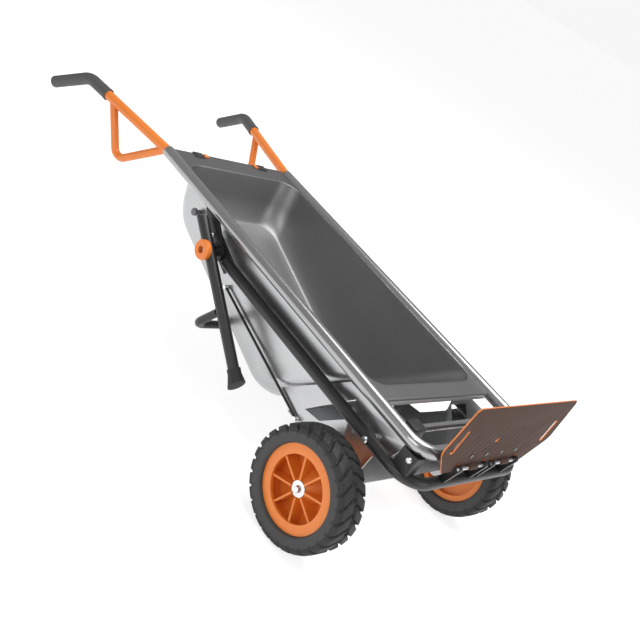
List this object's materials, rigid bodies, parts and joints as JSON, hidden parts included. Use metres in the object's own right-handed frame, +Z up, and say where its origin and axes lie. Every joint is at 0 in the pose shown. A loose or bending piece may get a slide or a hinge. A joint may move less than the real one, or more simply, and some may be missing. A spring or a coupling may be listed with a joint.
{
  "type": "folding yard cart",
  "caption": "Folding two-wheeled steel barrow with a deep tub, flared handles, fold-down legs and a hinged toe plate.",
  "frame": {"origin": "middle of the cart's length and width, on the floor plane that the wheels stand on", "axes": "+X towards the nose and the toe plate, +Y to the left seen from the handles, +Z up"},
  "size_m": [1.442, 0.614, 0.469],
  "materials": {
    "galvanised": "satin",
    "orange_paint": "gloss",
    "orange_plastic": "gloss",
    "rubber": "matt",
    "tyre": "matt",
    "white_plastic": "matt",
    "bronze_paint": "satin",
    "zinc": "bright",
    "black_plastic": "matt",
    "black_paint": "satin"
  },
  "bodies": {
    "frame": {"tub": "galvanised", "rail_right": "galvanised", "rail_left": "galvanised", "nose_tube": "galvanised", "handle_right": "orange_paint", "handle_left": "orange_paint", "grip_right": "rubber", "grip_left": "rubber", "rear_clips": "black_plastic", "clip_tabs": "orange_paint", "strap_studs": "zinc", "leg_hanger_right": "black_paint", "leg_hanger_left": "black_paint", "pivot_bolts": "zinc", "lower_frame": "black_paint", "frame_end_bolts": "zinc", "nose_block_right": "black_paint", "nose_block_left": "black_paint", "nose_bolts": "zinc", "axle_bracket_right": "galvanised", "axle_bracket_left": "galvanised", "saddle_plate": "galvanised", "bracket_bolts": "zinc", "brace_rod_right": "black_paint", "brace_rod_left": "black_paint", "brace_studs": "zinc", "axle": "zinc", "axle_washers": "zinc", "axle_bolts": "zinc", "front_cross_tube": "galvanised", "cross_clamps": "black_paint", "hinge_lugs": "black_paint", "hinge_pins": "zinc"},
    "legs": {"leg_right": "black_paint", "leg_left": "black_paint", "leg_hoop": "black_paint", "foot_right": "rubber", "foot_left": "rubber"},
    "knob_right": {"knob_right": "orange_plastic", "lock_pin_right": "zinc"},
    "knob_left": {"knob_left": "orange_plastic", "lock_pin_left": "zinc"},
    "wheel_right": {"rim_right": "orange_plastic", "bushing_right": "white_plastic", "tyre_right": "tyre"},
    "wheel_left": {"rim_left": "orange_plastic", "bushing_left": "white_plastic", "tyre_left": "tyre"},
    "toe_plate": {"toe_plate": "bronze_paint", "plate_rivets": "zinc"}
  },
  "joints": [
    {"name": "wheel_right_spin", "type": "hinge", "parent": "frame", "child": "wheel_right", "pos_m": [0.55269, -0.2715, 0.127], "axis": [0, 1, 0], "continuous": true},
    {"name": "wheel_left_spin", "type": "hinge", "parent": "frame", "child": "wheel_left", "pos_m": [0.55269, 0.2715, 0.127], "axis": [0, 1, 0], "continuous": true},
    {"name": "leg_fold", "type": "hinge", "parent": "frame", "child": "legs", "pos_m": [-0.00405, 0, 0.29937], "axis": [0, 1, 0], "range_deg": [0, 69.6]},
    {"name": "toe_plate_fold", "type": "hinge", "parent": "frame", "child": "toe_plate", "pos_m": [0.71423, 0, 0.3108], "axis": [0, 1, 0], "range_deg": [0, 90]},
    {"name": "knob_right_pull", "type": "slide", "parent": "legs", "child": "knob_right", "axis": [0, -1, 0], "range_m": [0, 0.008], "stiffness_N_per_m": 500, "springref_m": -0.004},
    {"name": "knob_left_pull", "type": "slide", "parent": "legs", "child": "knob_left", "axis": [0, 1, 0], "range_m": [0, 0.008], "stiffness_N_per_m": 500, "springref_m": -0.004}
  ]
}
